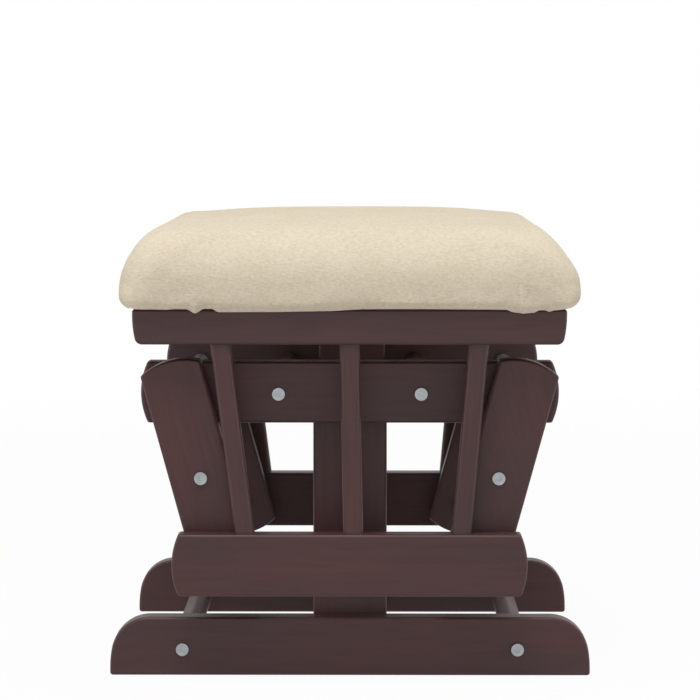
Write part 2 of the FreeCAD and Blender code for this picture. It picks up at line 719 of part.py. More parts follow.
def make_cross_rails():
    """Rails that tie the two seat side frames, with their dowels."""
    for hand, sign in HANDS:
        reach = signed(sign, "Sizes.cross_rail_reach")
        rail = board_body(
            bar_profile("Sizes.cross_rail_thickness", "Sizes.seat_top_rail_height"), f"2 * {SEAT_IN}",
            edge_radius="Sizes.cross_rail_round",
        )
        place(rail, reach, "0", CROSS_RAIL_MIDDLE)
        holes = [dowel(sign, spread, side) for side in SIDES for spread in ("-", "+")]
        for spot_reach, across in PANEL_SCREW_SPOTS:
            if spot_reach == reach:
                holes.append(panel_screw("Sizes.fit_clearance", spot_reach, across))
        keep(f"{hand}_cross_rail", cut(rail, *holes))
    group("cross_rail_dowels", [
        dowel(sign, spread, side)
        for _, sign in HANDS
        for side in SIDES
        for spread in ("-", "+")
    ])


def make_seat_pivots():
    """Inserts of the left pivots, which the seat's low rails hold."""
    group("left_lower_pivot_inserts", [
        insert(
            "Sizes.pivot_insert_diameter", PIVOT_BORE, "-Sizes.lower_pivot_reach", LOW_RAIL_MIDDLE, side,
            SEAT_IN, f"({SEAT_IN} + Sizes.pivot_insert_length)",
        )
        for side in SIDES
    ])


def rounded_profile(half_x, half_y, radius):
    """Rectangle with round corners, centred on the origin."""
    def draw(sketch):
        long = number(half_x)
        deep = number(half_y)
        bend = number(radius)
        up = FreeCAD.Vector(0, 0, 1)
        flat_x = long - bend
        flat_y = deep - bend
        quarters = (
            (flat_x, -flat_y, -math.pi / 2),
            (flat_x, flat_y, 0.0),
            (-flat_x, flat_y, math.pi / 2),
            (-flat_x, -flat_y, math.pi),
        )
        arcs = []
        for x, y, start in quarters:
            circle = Part.Circle(FreeCAD.Vector(x, y, 0), up, bend)
            arcs.append(Part.ArcOfCircle(circle, start, start + math.pi / 2))
        lines = []
        for first, second in zip(arcs, arcs[1:] + arcs[:1]):
            lines.append(Part.LineSegment(first.EndPoint, second.StartPoint))
        arc_ids = [sketch.addGeometry(arc, False) for arc in arcs]
        line_ids = [sketch.addGeometry(line, False) for line in lines]
        for index, arc in enumerate(arc_ids):
            sketch.addConstraint(Sketcher.Constraint("Tangent", arc, 2, line_ids[index], 1))
            sketch.addConstraint(Sketcher.Constraint("Tangent", line_ids[index - 1], 2, arc, 1))
            limit(sketch, "Radius", arc, by=radius)
        for index, kind in enumerate(("Vertical", "Horizontal", "Vertical", "Horizontal")):
            sketch.addConstraint(Sketcher.Constraint(kind, line_ids[index]))
        limit(sketch, "DistanceX", -1, 1, line_ids[0], 1, by=half_x)
        limit(sketch, "DistanceY", -1, 1, line_ids[1], 1, by=half_y)
        limit(sketch, "DistanceX", -1, 1, line_ids[2], 1, by=f"-({half_x})")
        limit(sketch, "DistanceY", -1, 1, line_ids[3], 1, by=f"-({half_y})")
    return draw


def pad_sections(shrink):
    """Level sections of the pad: inset from its widest line, and height over its underside.

    The side is a quarter ellipse below the widest line and most of one above it. The crown is a
    parabola that takes over where its slope is the same.
    """
    belly = f"(Sizes.pad_belly_height - {shrink})"
    rise = f"(Sizes.pad_height - Sizes.pad_belly_height - Sizes.pad_crown - {shrink})"
    sections = []
    for step in range(LOWER_STEPS):
        turn = math.radians(90 * (1 - step / LOWER_STEPS))
        sections.append((
            f"Sizes.pad_overhang * {1 - math.cos(turn):.4f}",
            f"{belly} * {1 - math.sin(turn):.4f}",
        ))
    for step in range(SHOULDER_STEPS + 1):
        turn = math.radians(SHOULDER_TURN * step / SHOULDER_STEPS)
        sections.append((
            f"Sizes.pad_shoulder * {1 - math.cos(turn):.4f}",
            f"{belly} + {rise} * {math.sin(turn):.4f}",
        ))
    crown_inset, crown_height = sections[-1]
    for step in range(1, CROWN_STEPS + 1):
        share = step / CROWN_STEPS
        drop = (1 - share) ** 2
        sections.append((
            f"{crown_inset} * {1 - share:.4f} + Sizes.pad_crown_run * {share:.4f}",
            f"({belly} + {rise} + Sizes.pad_crown) * {1 - drop:.4f} + ({crown_height}) * {drop:.4f}",
        ))
    return sections


def pad_size(shrink, inset):
    """Half length, half depth and corner radius of a level section of the pad.

    The corners are tightest where the pad is widest, and ease off towards the crown.
    """
    full_x = f"(Sizes.seat_top_rail_length / 2 + Sizes.pad_overhang - {shrink})"
    full_y = f"({SEAT_OUT} + Sizes.pad_overhang - {shrink})"
    half_x = f"({full_x} - ({inset}))"
    half_y = f"({full_y} - ({inset}))"
    share = f"({half_x} / {full_x})"
    eased = f"(Sizes.pad_corner_radius + 4 * Sizes.pad_corner_ease * (1 - {share}))"
    return half_x, half_y, f"({share} * {eased})"


def pad_body(name, shrink):
    """Crowned body with drawn-in sides, lofted through its level sections."""
    body = doc.addObject("PartDesign::Body", name)
    sketches = []
    for inset, height in pad_sections(shrink):
        sketch = plane_sketch(body, "XY_Plane", f"{PAD_BOTTOM} + {shrink} + {height}")
        rounded_profile(*pad_size(shrink, inset))(sketch)
        sketches.append(sketch)
    loft = body.newObject("PartDesign::AdditiveLoft", "Loft")
    loft.Profile = sketches[0]
    loft.Sections = sketches[1:]
    return body


def make_pad():
    """Upholstered pad: a panel, the foam over it and the cover round both."""
    outer = pad_body("PadOuter", "0")
    inner = pad_body("PadInner", "Sizes.cover_thickness")
    half_x, half_y, corner = pad_size("Sizes.cover_thickness", "Sizes.pad_overhang")
    panel = doc.addObject("PartDesign::Body", "Panel")
    sketch = plane_sketch(panel, "XY_Plane", PANEL_BOTTOM)
    rounded_profile(
        f"({half_x} - Sizes.panel_margin)", f"({half_y} - Sizes.panel_margin)",
        f"({corner} - Sizes.panel_margin)",
    )(sketch)
    pad = panel.newObject("PartDesign::Pad", "Pad")
    pad.Profile = sketch
    pad.setExpression("Length", "Sizes.panel_thickness")

    def screw_holes(extra):
        return [panel_screw(extra, reach, across) for reach, across in PANEL_SCREW_SPOTS]

    keep("cushion_cover", cut(outer, inner, *screw_holes("Sizes.fit_clearance")))
    keep("cushion_foam", cut(inner, panel))
    keep("cushion_panel", cut(panel, *screw_holes("0")))
    group("panel_screws", screw_holes("0"))


def check_all():
    """Stop if any object failed or any sub-part's shape is missing or not valid."""
    failed = []
    for item in doc.Objects:
        if "Invalid" in item.State or "Error" in item.State:
            failed.append(item.Label)
    for label, item in parts.items():
        if item.Shape.isNull() or not item.Shape.isValid() or not item.Shape.Solids:
            failed.append(label)
    if failed:
        raise RuntimeError(f"failed objects: {failed}")


make_base()
for hand_name, hand_sign in HANDS:
    make_arms(hand_name, hand_sign)
for frame_side in SIDES:
    make_side_frame(frame_side)
make_cross_rails()
make_seat_pivots()
make_pad()
doc.recompute()
check_all()

os.makedirs("parts", exist_ok=True)
for label, item in parts.items():
    item.Shape.exportStep(f"parts/{label}.step")
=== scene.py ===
"""Looks of the glider ottoman: finishes of wood, metal and fabric, the upholstered pad, the light.

Sizes are in metres. X is the glide direction, Y runs from the front side frame to the rear one
and Z is up.
"""
import math
import random

import bmesh
import bpy
import numpy as np
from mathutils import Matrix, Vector


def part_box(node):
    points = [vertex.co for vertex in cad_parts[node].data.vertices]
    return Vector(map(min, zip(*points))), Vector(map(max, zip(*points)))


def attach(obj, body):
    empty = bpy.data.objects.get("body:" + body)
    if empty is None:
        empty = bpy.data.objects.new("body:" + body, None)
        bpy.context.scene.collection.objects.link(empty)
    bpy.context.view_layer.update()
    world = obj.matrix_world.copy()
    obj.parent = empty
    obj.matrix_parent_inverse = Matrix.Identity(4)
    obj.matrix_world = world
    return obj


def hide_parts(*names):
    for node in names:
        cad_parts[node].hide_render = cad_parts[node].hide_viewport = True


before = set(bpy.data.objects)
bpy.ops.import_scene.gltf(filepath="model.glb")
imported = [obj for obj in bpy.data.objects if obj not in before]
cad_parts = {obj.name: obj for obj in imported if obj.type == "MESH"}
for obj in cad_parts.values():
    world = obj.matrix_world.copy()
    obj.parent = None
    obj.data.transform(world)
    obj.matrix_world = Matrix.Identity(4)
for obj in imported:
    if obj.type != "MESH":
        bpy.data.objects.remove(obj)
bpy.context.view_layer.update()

PAD_LOW, PAD_HIGH = (np.array(corner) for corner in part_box("cushion_cover"))

# Camera, fitted to the photograph: a long lens a little above the pad.
CAMERA_PLACE = (0.0158, -2.6199, 0.4648)
CAMERA_PITCH = 0.0785
CAMERA_TURN = 0.0064
CAMERA_LENS = 153.0
CAMERA_REACH = 50
SENSOR = 36.0

# Light: the level around the ottoman, that of the backdrop, and the lamps.
AMBIENT = 0.10
BACKGROUND = 1.0
LAMPS = (
    ("key_lamp", (-0.3, -1.2, 2.5), 1.2, 40.0),
    ("top_lamp", (0.3, 0.1, 2.6), 2.0, 25.0),
    ("low_lamp", (0.0, -3.2, 0.25), 1.6, 7.0),
    ("left_lamp", (-2.2, -0.5, 0.5), 0.8, 9.0),
    ("right_lamp", (2.2, -0.5, 0.5), 0.8, 9.0),
)
LAMP_AIM = (0, 0, 0.2)
# Floor: its half width, the share of the backdrop's white in it near the ottoman, and the
# distances between which that share rises to the whole.
FLOOR_SPAN = 40.0
FLOOR_WHITE_NEAR = 0.95
FLOOR_FADE = (0.8, 2.6)

# Pad: how far it swells, and what its side and its crown do over its height.
SWELL = 0.0015
SWELL_CAP = 0.003
SIDE_PULL = 0.003
OVERHANG = 0.012
END_TURN = 0.010
FACE_TURN = 0.0055
TURN_POWER = 1.5
SHOULDER_START = 0.018
SHOULDER = 0.0489
SHOULDER_BEND = 0.94
CROWN = 0.0112
CROWN_RUN = 0.135
FOOT_RADIUS = 0.012
CORNER_RADIUS = 0.030
CORNER_EASE = 0.0295
# How much lower the top lies at the ends and at the faces than in the middle.
END_FALL = 0.0004
FACE_FALL = 0.0077
# Mesh of the pad: its rings under the shoulder, round it and over the crown, and their points.
UNDER_RINGS = 12
UNDER_SPACING = 1.6
SHOULDER_RINGS = 18
CROWN_RINGS = 12
CORNER_STEPS = 12
SIDE_STEPS = 24
VOXEL = 0.0045
# Height up to which the mesh is split once more for the hem.
DETAIL_HEIGHT = 0.030

# Swelling: the cloth, and the band over the underside where it is held.
SIM_FRAMES = 20
CLOTH = {
    "quality": 6,
    "mass": 0.3,
    "tension_stiffness": 12,
    "compression_stiffness": 12,
    "shear_stiffness": 5,
    "bending_stiffness": 0.8,
    "use_pressure": True,
    "uniform_pressure_force": 4.0,
    "vertex_group_mass": "held",
    "shrink_min": -0.01,
}
GRIP_HEIGHT = 0.002
GRIP_FADE = 0.006

# Lower edge of the cover: the height that its drop fades over, how near the side it starts, and the
# drop along the front as place and drop.
HEM_HEIGHT = 0.012
HEM_EDGE_GAP = 0.0005
HEM_EDGE_FADE = 0.003
FRONT_HEM = (
    (-0.190, 0.0010), (-0.160, 0.0008), (-0.148, 0.0012), (-0.140, 0.0006), (-0.131, 0.0008),
    (-0.1255, 0.0042), (-0.1235, 0.0042), (-0.118, 0.0006), (-0.111, 0.0006), (-0.106, 0.0034),
    (-0.060, 0.0036), (-0.015, 0.0030), (0.010, 0.0013), (0.060, 0.0010), (0.127, 0.0012),
    (0.131, 0.0030), (0.140, 0.0042), (0.149, 0.0034), (0.153, 0.0014), (0.158, 0.0014),
    (0.161, 0.0026), (0.165, 0.0014), (0.172, 0.0010), (0.190, 0.0010),
)
# The other sides' lower edge: how far it runs from the middle, steps and drops to draw from.
HEM_REACH = {"rear": 0.190, "left": 0.236, "right": 0.236}
HEM_END_GAP = 0.03
HEM_STEPS = (0.006, 0.010, 0.022, 0.045)
HEM_DROPS = (0.0004, 0.0010, 0.0022, 0.0034)
# Creases up from the lower edge: place along the front, height and depth.
FRONT_CREASES = (
    (0.140, 0.040, 0.0012),
    (-0.1245, 0.010, 0.0008),
    (-0.107, 0.012, 0.0007),
    (0.161, 0.010, 0.0006),
    (-0.060, 0.016, 0.0003),
)
# The other sides' creases: how many, how far from the middle, and their heights and depths.
CREASE_COUNT = 6
CREASE_REACH = {"rear": 0.150, "left": 0.195, "right": 0.195}
CREASE_HEIGHTS = (0.008, 0.040)
CREASE_DEPTHS = (0.0004, 0.0011)
# Section of a crease: a ridge between two valleys on a broad swelling.
CREASE_WIDTH = 0.0035
CREASE_BAND = 0.014
CREASE_BAND_FADE = 0.006
RIDGE_HEIGHT = 0.8
RIDGE_TIGHTNESS = 2.6
VALLEY_DEPTH = 0.6
VALLEY_TIGHTNESS = 1.8
BROAD_HEIGHT = 0.5
BROAD_REACH = 2.4
HEM_SEED = 11
# Form of the pad's ends: place, width and rise of the top there; a rise below nought lowers it.
FULL_SHOULDERS = (
    (-0.168, 0.024, 0.0056),
    (0.160, 0.017, 0.0028),
    (0.183, 0.010, -0.0045),
)
# Slow unevenness: its size and height, its waves, and where it sets in over the underside.
LUMP_SIZE = 0.075
LUMP_HEIGHT = 0.0004
LUMP_WAVES = 9
LUMP_START = 0.004
LUMP_FADE = 0.02

# Finishes: how far the grain, its clouding and the pile are stretched, and how steel's gloss varies.
GRAIN_STRETCH = 14.0
CLOUD_STRETCH = 3
PILE_STRETCH = (2.4, 2.4, 1.0)
GLOSS_PLAY = 0.06
# Rounded edges of bolts and bushes.
BOLT_ROUNDING = 0.0005
BUSH_ROUNDING = 0.0004
ROUNDING_SEGMENTS = 3
ROUNDING_ANGLE = 40
WELD_GAP = 0.00001


def linear(red, green, blue):
    """Colour of a screen value from 0 to 255, as the shaders want it."""
    levels = []
    for value in (red, green, blue):
        share = value / 255
        levels.append(share / 12.92 if share <= 0.04045 else ((share + 0.055) / 1.055) ** 2.4)
    return (*levels, 1.0)


def shader(name):
    """New material: its node tree and its surface shader."""
    made = bpy.data.materials.new(name)
    made.use_nodes = True
    tree = made.node_tree
    return made, tree, tree.nodes["Principled BSDF"]


def node(tree, kind, **settings):
    """New node with its properties and unlinked inputs set."""
    made = tree.nodes.new(kind)
    for key, value in settings.items():
        if key.startswith("in_"):
            made.inputs[key[3:].replace("_", " ")].default_value = value
        else:
            setattr(made, key, value)
    return made


def object_space(tree, turn=(0, 0, 0), stretch=(1, 1, 1)):
    """Coordinates fixed to the object, turned to a direction and stretched along it."""
    place = node(tree, "ShaderNodeTexCoord")
    mapping = node(tree, "ShaderNodeMapping", vector_type="TEXTURE")
    mapping.inputs["Rotation"].default_value = turn
    mapping.inputs["Scale"].default_value = stretch
    tree.links.new(place.outputs["Object"], mapping.inputs["Vector"])
    return mapping.outputs["Vector"]


def noise_field(tree, where, scale, detail=2.0, roughness=0.5, distortion=0.0):
    """Noise from 0 to 1 over the given coordinates."""
    made = node(
        tree, "ShaderNodeTexNoise",
        in_Scale=scale, in_Detail=detail, in_Roughness=roughness, in_Distortion=distortion,
    )
    tree.links.new(where, made.inputs["Vector"])
    return made.outputs["Fac"]


def ramp(tree, factor, stops):
    """Colour of a factor, from a list of place and colour."""
    made = node(tree, "ShaderNodeValToRGB")
    elements = made.color_ramp.elements
    while len(elements) < len(stops):
        elements.new(0.5)
    for element, (place, colour) in zip(elements, stops):
        element.position = place
        element.color = colour
    tree.links.new(factor, made.inputs["Fac"])
    return made.outputs["Color"]


def blend_colours(tree, kind, factor, first, second):
    """Two colours mixed; the factor is a number or an output."""
    made = node(tree, "ShaderNodeMix", data_type="RGBA", blend_type=kind)
    if isinstance(factor, float):
        made.inputs["Factor"].default_value = factor
    else:
        tree.links.new(factor, made.inputs["Factor"])
    tree.links.new(first, made.inputs["A"])
    tree.links.new(second, made.inputs["B"])
    return made.outputs["Result"]


def spread(tree, factor, low, high):
    """Factor from 0 to 1 mapped to a range."""
    made = node(tree, "ShaderNodeMapRange", in_To_Min=low, in_To_Max=high)
    tree.links.new(factor, made.inputs["Value"])
    return made.outputs["Result"]


def bump(tree, height, distance, strength=1.0, below=None):
    """Surface relief of a height field, in metres."""
    made = node(tree, "ShaderNodeBump", in_Strength=strength, in_Distance=distance)
    tree.links.new(height, made.inputs["Height"])
    if below is not None:
        tree.links.new(below, made.inputs["Normal"])
    return made.outputs["Normal"]


def stained_wood(name, along):
    """Dark red-brown stain under a satin lacquer, with its grain along a direction."""
    made, tree, surface = shader(name)
    turn = Vector((1, 0, 0)).rotation_difference(along).to_euler()
    where = object_space(tree, turn, (GRAIN_STRETCH, 1, 1))
    broad = noise_field(tree, where, scale=16, distortion=0.3)
    lines = noise_field(tree, where, scale=260, detail=3)
    pores = noise_field(tree, where, scale=1300)
    cloud = noise_field(tree, object_space(tree, turn, (CLOUD_STRETCH, 1, 1)), scale=20)
    stain = ramp(tree, broad, (
        (0.30, linear(67, 36, 37)),
        (0.52, linear(72, 38, 39)),
        (0.72, linear(77, 40, 41)),
    ))
    veins = ramp(tree, lines, (
        (0.32, linear(232, 230, 230)),
        (0.52, linear(247, 246, 246)),
        (0.75, linear(255, 255, 255)),
    ))
    patches = ramp(tree, cloud, (
        (0.35, linear(228, 236, 238)),
        (0.65, linear(255, 248, 246)),
    ))
    shade = blend_colours(tree, "MULTIPLY", 1.0, stain, veins)
    shade = blend_colours(tree, "MULTIPLY", 1.0, shade, patches)
    tree.links.new(shade, surface.inputs["Base Color"])
    tree.links.new(spread(tree, lines, low=0.58, high=0.48), surface.inputs["Roughness"])
    relief = bump(tree, pores, distance=0.00003)
    relief = bump(tree, lines, distance=0.00004, below=relief)
    tree.links.new(relief, surface.inputs["Normal"])
    surface.inputs["IOR"].default_value = 1.45
    surface.inputs["Coat Weight"].default_value = 0.1
    surface.inputs["Coat Roughness"].default_value = 0.25
    return made


def plain_wood(name, light, dark):
    """Bare wood with fine lines, for dowels and plywood."""
    made, tree, surface = shader(name)
    where = object_space(tree, stretch=(1, GRAIN_STRETCH, 1))
    lines = noise_field(tree, where, scale=260, detail=3, roughness=0.6)
    shade = ramp(tree, lines, ((0.3, dark), (0.7, light)))
    tree.links.new(shade, surface.inputs["Base Color"])
    tree.links.new(bump(tree, lines, distance=0.0001), surface.inputs["Normal"])
    surface.inputs["Roughness"].default_value = 0.65
    return made


def steel(name, light, dark, gloss):
    """Plated steel with faint tool marks."""
    made, tree, surface = shader(name)
    where = object_space(tree)
    marks = noise_field(tree, where, scale=1500, detail=3, roughness=0.6)
    cloud = noise_field(tree, where, scale=160)
    shade = ramp(tree, cloud, ((0.35, dark), (0.65, light)))
    tree.links.new(shade, surface.inputs["Base Color"])
    roughness = spread(tree, marks, low=gloss - GLOSS_PLAY, high=gloss + GLOSS_PLAY)
    tree.links.new(roughness, surface.inputs["Roughness"])
    tree.links.new(bump(tree, marks, distance=0.00003), surface.inputs["Normal"])
    surface.inputs["Metallic"].default_value = 1.0
    return made


def moulded(name, light, dark):
    """Moulded plastic with a faint grain."""
    made, tree, surface = shader(name)
    grains = noise_field(tree, object_space(tree), scale=1800)
    shade = ramp(tree, grains, ((0.3, dark), (0.7, light)))
    tree.links.new(shade, surface.inputs["Base Color"])
    tree.links.new(bump(tree, grains, distance=0.00004), surface.inputs["Normal"])
    surface.inputs["Roughness"].default_value = 0.5
    return made


def fleece(name):
    """Short brushed pile in tan, with clumps that lie level, and a soft sheen."""
    made, tree, surface = shader(name)
    where = object_space(tree, stretch=PILE_STRETCH)
    clumps = noise_field(tree, where, scale=760, detail=4, roughness=0.6, distortion=0.6)
    fibres = noise_field(tree, where, scale=2400, detail=3, roughness=0.6)
    cloud = noise_field(tree, object_space(tree), scale=28)
    shade = ramp(tree, clumps, (
        (0.30, linear(214, 200, 176)),
        (0.50, linear(225, 212, 190)),
        (0.70, linear(233, 222, 202)),
    ))
    tint = ramp(tree, cloud, (
        (0.35, linear(251, 250, 248)),
        (0.65, linear(255, 254, 253)),
    ))
    shade = blend_colours(tree, "MULTIPLY", 1.0, shade, tint)
    tree.links.new(shade, surface.inputs["Base Color"])
    relief = bump(tree, fibres, distance=0.0003)
    relief = bump(tree, clumps, distance=0.0006, below=relief)
    tree.links.new(relief, surface.inputs["Normal"])
    surface.inputs["Roughness"].default_value = 0.95
    surface.inputs["Specular IOR Level"].default_value = 0.2
    surface.inputs["Sheen Weight"].default_value = 0.25
    surface.inputs["Sheen Roughness"].default_value = 0.6
    surface.inputs["Sheen Tint"].default_value = linear(240, 232, 212)
    return made


def long_axis(shown):
    """Direction in which a piece is longest."""
    points = np.array([vertex.co for vertex in shown.data.vertices])
    spans = np.linalg.svd(points - points.mean(axis=0), full_matrices=False)[2]
    along = Vector(spans[0])
    lead = max(along, key=abs)
    return along if lead > 0 else -along


def paint(shown, finish):
    """Give a piece one finish all over."""
    shown.data.materials.clear()
    shown.data.materials.append(finish)


def soften(shown, width):
    """Round the sharp edges of a bolt or a bush."""
    weld = shown.modifiers.new("Weld", "WELD")
    weld.merge_threshold = WELD_GAP
    rounding = shown.modifiers.new("Rounding", "BEVEL")
    rounding.width = width
    rounding.segments = ROUNDING_SEGMENTS
    rounding.limit_method = "ANGLE"
    rounding.angle_limit = math.radians(ROUNDING_ANGLE)
    rounding.harden_normals = True


def finish_frame():
    """Finish every piece of the frame: wood along its own grain, bolts, screws, bushes."""
    woods = {}
    bright = steel("bright_steel", linear(158, 161, 162), linear(144, 148, 150), 0.34)
    # Darker copy of the steel for the pivot bolts: painted shade for their place deep under the seat,
    # not a finish of their own.
    dark = steel("steel_painted_shade", linear(104, 103, 103), linear(86, 85, 85), 0.24)
    zinc = steel("zinc_steel", linear(186, 184, 174), linear(164, 162, 152), 0.42)
    nylon = moulded("nylon", linear(66, 64, 64), linear(54, 52, 52))
    birch = plain_wood("dowel_wood", linear(206, 178, 138), linear(184, 152, 112))
    plywood = plain_wood("plywood", linear(204, 176, 138), linear(176, 142, 104))
    for name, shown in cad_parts.items():
        if name.endswith("bolts"):
            # Pivot bolts take the darker steel, which is painted shade.
            paint(shown, dark if "pivot" in name else bright)
            soften(shown, BOLT_ROUNDING)
        elif name.endswith(("inserts", "screws")):
            paint(shown, zinc)
        elif name.endswith("bushes"):
            paint(shown, nylon)
            soften(shown, BUSH_ROUNDING)
        elif name.endswith("dowels"):
            paint(shown, birch)
        elif name == "cushion_panel":
            paint(shown, plywood)
        elif not name.startswith("cushion"):
            along = long_axis(shown)
            key = tuple(round(math.degrees(math.acos(min(1, abs(part))))) for part in along)
            if key not in woods:
                woods[key] = stained_wood(f"stained_wood_{len(woods) + 1}", along)
            paint(shown, woods[key])


def smooth(value):
    """Soft step from 0 to 1."""
    held = np.clip(value, 0, 1)
    return held * held * (3 - 2 * held)


def under_turn(height, reach):
    """How far the side draws in at a height, below where it is widest."""
    if height >= reach:
        return 0.0
    share = (reach - height) / reach
    return OVERHANG * (1 - (1 - share ** TURN_POWER) ** (1 / TURN_POWER))


def pad_levels():
    """Height over the underside and inset at the ends and at the faces, from the bottom up."""
    levels = []
    for share in np.linspace(0, 1, UNDER_RINGS):
        height = SHOULDER_START * share ** UNDER_SPACING
        levels.append((height, under_turn(height, END_TURN), under_turn(height, FACE_TURN)))
    rise = PAD_HIGH[2] - PAD_LOW[2] - SHOULDER_START - CROWN
    turns = np.linspace(0, math.pi / 2, SHOULDER_RINGS)[1:-1]
    round_insets = SHOULDER * (1 - np.cos(turns) ** SHOULDER_BEND)
    insets = np.append(round_insets, np.linspace(SHOULDER, CROWN_RUN, CROWN_RINGS))
    shares = np.append(np.sin(turns) ** SHOULDER_BEND, np.ones(CROWN_RINGS))
    for inset, share in zip(insets, shares):
        crown = CROWN * (1 - (1 - inset / CROWN_RUN) ** 2)
        levels.append((SHOULDER_START + rise * share + crown, inset, inset))
    return levels


def ring(height, end_inset, face_inset):
    """Points of one level of the pad, with its sides pulled in between the corners."""
    full = (PAD_HIGH - PAD_LOW)[:2] / 2 - SWELL
    half = full - (end_inset, face_inset)
    share = half[0] / full[0]
    corner = np.interp(height, (0, SHOULDER_START), (FOOT_RADIUS, CORNER_RADIUS))
    if height > SHOULDER_START:
        corner += 4 * CORNER_EASE * (1 - share)
    corner *= share
    flat = half - corner
    points = []
    for quarter in range(4):
        start = quarter * math.pi / 2
        centre = np.array((
            flat[0] if quarter in (0, 3) else -flat[0],
            flat[1] if quarter in (0, 1) else -flat[1],
        ))
        for turn in start + np.linspace(0, math.pi / 2, CORNER_STEPS + 1)[:-1]:
            points.append(centre + corner * np.array((math.cos(turn), math.sin(turn))))
        end = start + math.pi / 2
        outward = np.array((math.cos(end), math.sin(end)))
        ahead = np.array((-math.sin(end), math.cos(end)))
        run = 2 * (flat[0] if quarter in (0, 2) else flat[1])
        for along in np.linspace(0, 1, SIDE_STEPS + 1)[:-1]:
            dip = SIDE_PULL * share * 4 * along * (1 - along)
            points.append(centre + outward * (corner - dip) + ahead * run * along)
    return [(x, y, PAD_LOW[2] + height) for x, y in points]


def pad_shell():
    """Closed mesh of the pad before it swells."""
    vertices = []
    faces = []
    levels = pad_levels()
    for level in levels:
        vertices.extend(ring(*level))
    count = len(vertices) // len(levels)
    for level in range(len(levels) - 1):
        for index in range(count):
            after = (index + 1) % count
            low = level * count
            high = low + count
            faces.append((low + index, low + after, high + after, high + index))
    faces.append(tuple(reversed(range(count))))
    faces.append(tuple(range((len(levels) - 1) * count, len(levels) * count)))
    mesh = bpy.data.meshes.new("cushion")
    mesh.from_pydata(vertices, [], faces)
    return mesh


def baked(shown):
    """Mesh of a piece with its modifiers applied."""
    graph = bpy.context.evaluated_depsgraph_get()
    graph.update()
    return bpy.data.meshes.new_from_object(shown.evaluated_get(graph))


def coordinates(mesh):
    """Points of a mesh as an array."""
    flat = np.empty(len(mesh.vertices) * 3)
    mesh.vertices.foreach_get("co", flat)
    return flat.reshape(-1, 3)


def set_coordinates(mesh, points):
    """Move the points of a mesh."""
    mesh.vertices.foreach_set("co", points.ravel())
    mesh.update()


def swap_mesh(shown, mesh):
    """Give a piece a new mesh and drop its modifiers."""
    shown.modifiers.clear()
    shown.data = mesh


def inflate(pad):
    """Let the cover swell over its foam, held along its underside."""
    points = coordinates(pad.data)
    held = pad.vertex_groups.new(name="held")
    grip = 1 - smooth((points[:, 2] - PAD_LOW[2] - GRIP_HEIGHT) / GRIP_FADE)
    for index in np.nonzero(grip)[0]:
        held.add([int(index)], float(grip[index]), "REPLACE")
    cloth = pad.modifiers.new("Cloth", "CLOTH")
    for key, value in CLOTH.items():
        setattr(cloth.settings, key, value)
    cloth.settings.effector_weights.gravity = 0
    scene = bpy.context.scene
    scene.frame_start = 1
    scene.frame_end = SIM_FRAMES
    cloth.point_cache.frame_start = 1
    cloth.point_cache.frame_end = SIM_FRAMES
    for step in range(1, SIM_FRAMES + 1):
        scene.frame_set(step)
    swollen = coordinates(baked(pad))
    scene.frame_set(1)
    move = swollen - points
    length = np.linalg.norm(move, axis=1, keepdims=True)
    pad.modifiers.clear()
    set_coordinates(pad.data, fit_box(points + move / (1 + length / SWELL_CAP)))


def fit_box(points):
    """Points spread so that they fill the box of the upholstery exactly."""
    low = points.min(axis=0)
    return PAD_LOW + (points - low) * (PAD_HIGH - PAD_LOW) / (points.max(axis=0) - low)


def lumps(points):
    """Slow unevenness of a stuffed cover, from -1 to 1."""
    total = np.zeros(len(points))
    source = random.Random(HEM_SEED)
    for _ in range(LUMP_WAVES):
        wave = np.array([source.gauss(0, 1) for _ in range(3)]) / LUMP_SIZE
        total += np.sin(points @ wave + source.uniform(0, 2 * math.pi))
    return total / math.sqrt(LUMP_WAVES)


def hem_run(side):
    """Drop of the lower edge along a side, as places and drops."""
    if side == "front":
        return tuple(zip(*FRONT_HEM))
    source = random.Random(f"{HEM_SEED}{side}")
    half = HEM_REACH[side]
    places = [-half]
    drops = [0.0]
    while places[-1] < half - HEM_END_GAP:
        places.append(places[-1] + source.choice(HEM_STEPS))
        drops.append(source.choice(HEM_DROPS))
    return (*places, half), (*drops, 0.0)


def creases(side):
    """Creases that rise from the lower edge along a side."""
    if side == "front":
        return FRONT_CREASES
    source = random.Random(f"{side}{HEM_SEED}")
    reach = CREASE_REACH[side]
    return [
        (source.uniform(-reach, reach), source.uniform(*CREASE_HEIGHTS), source.uniform(*CREASE_DEPTHS))
        for _ in range(CREASE_COUNT)
    ]


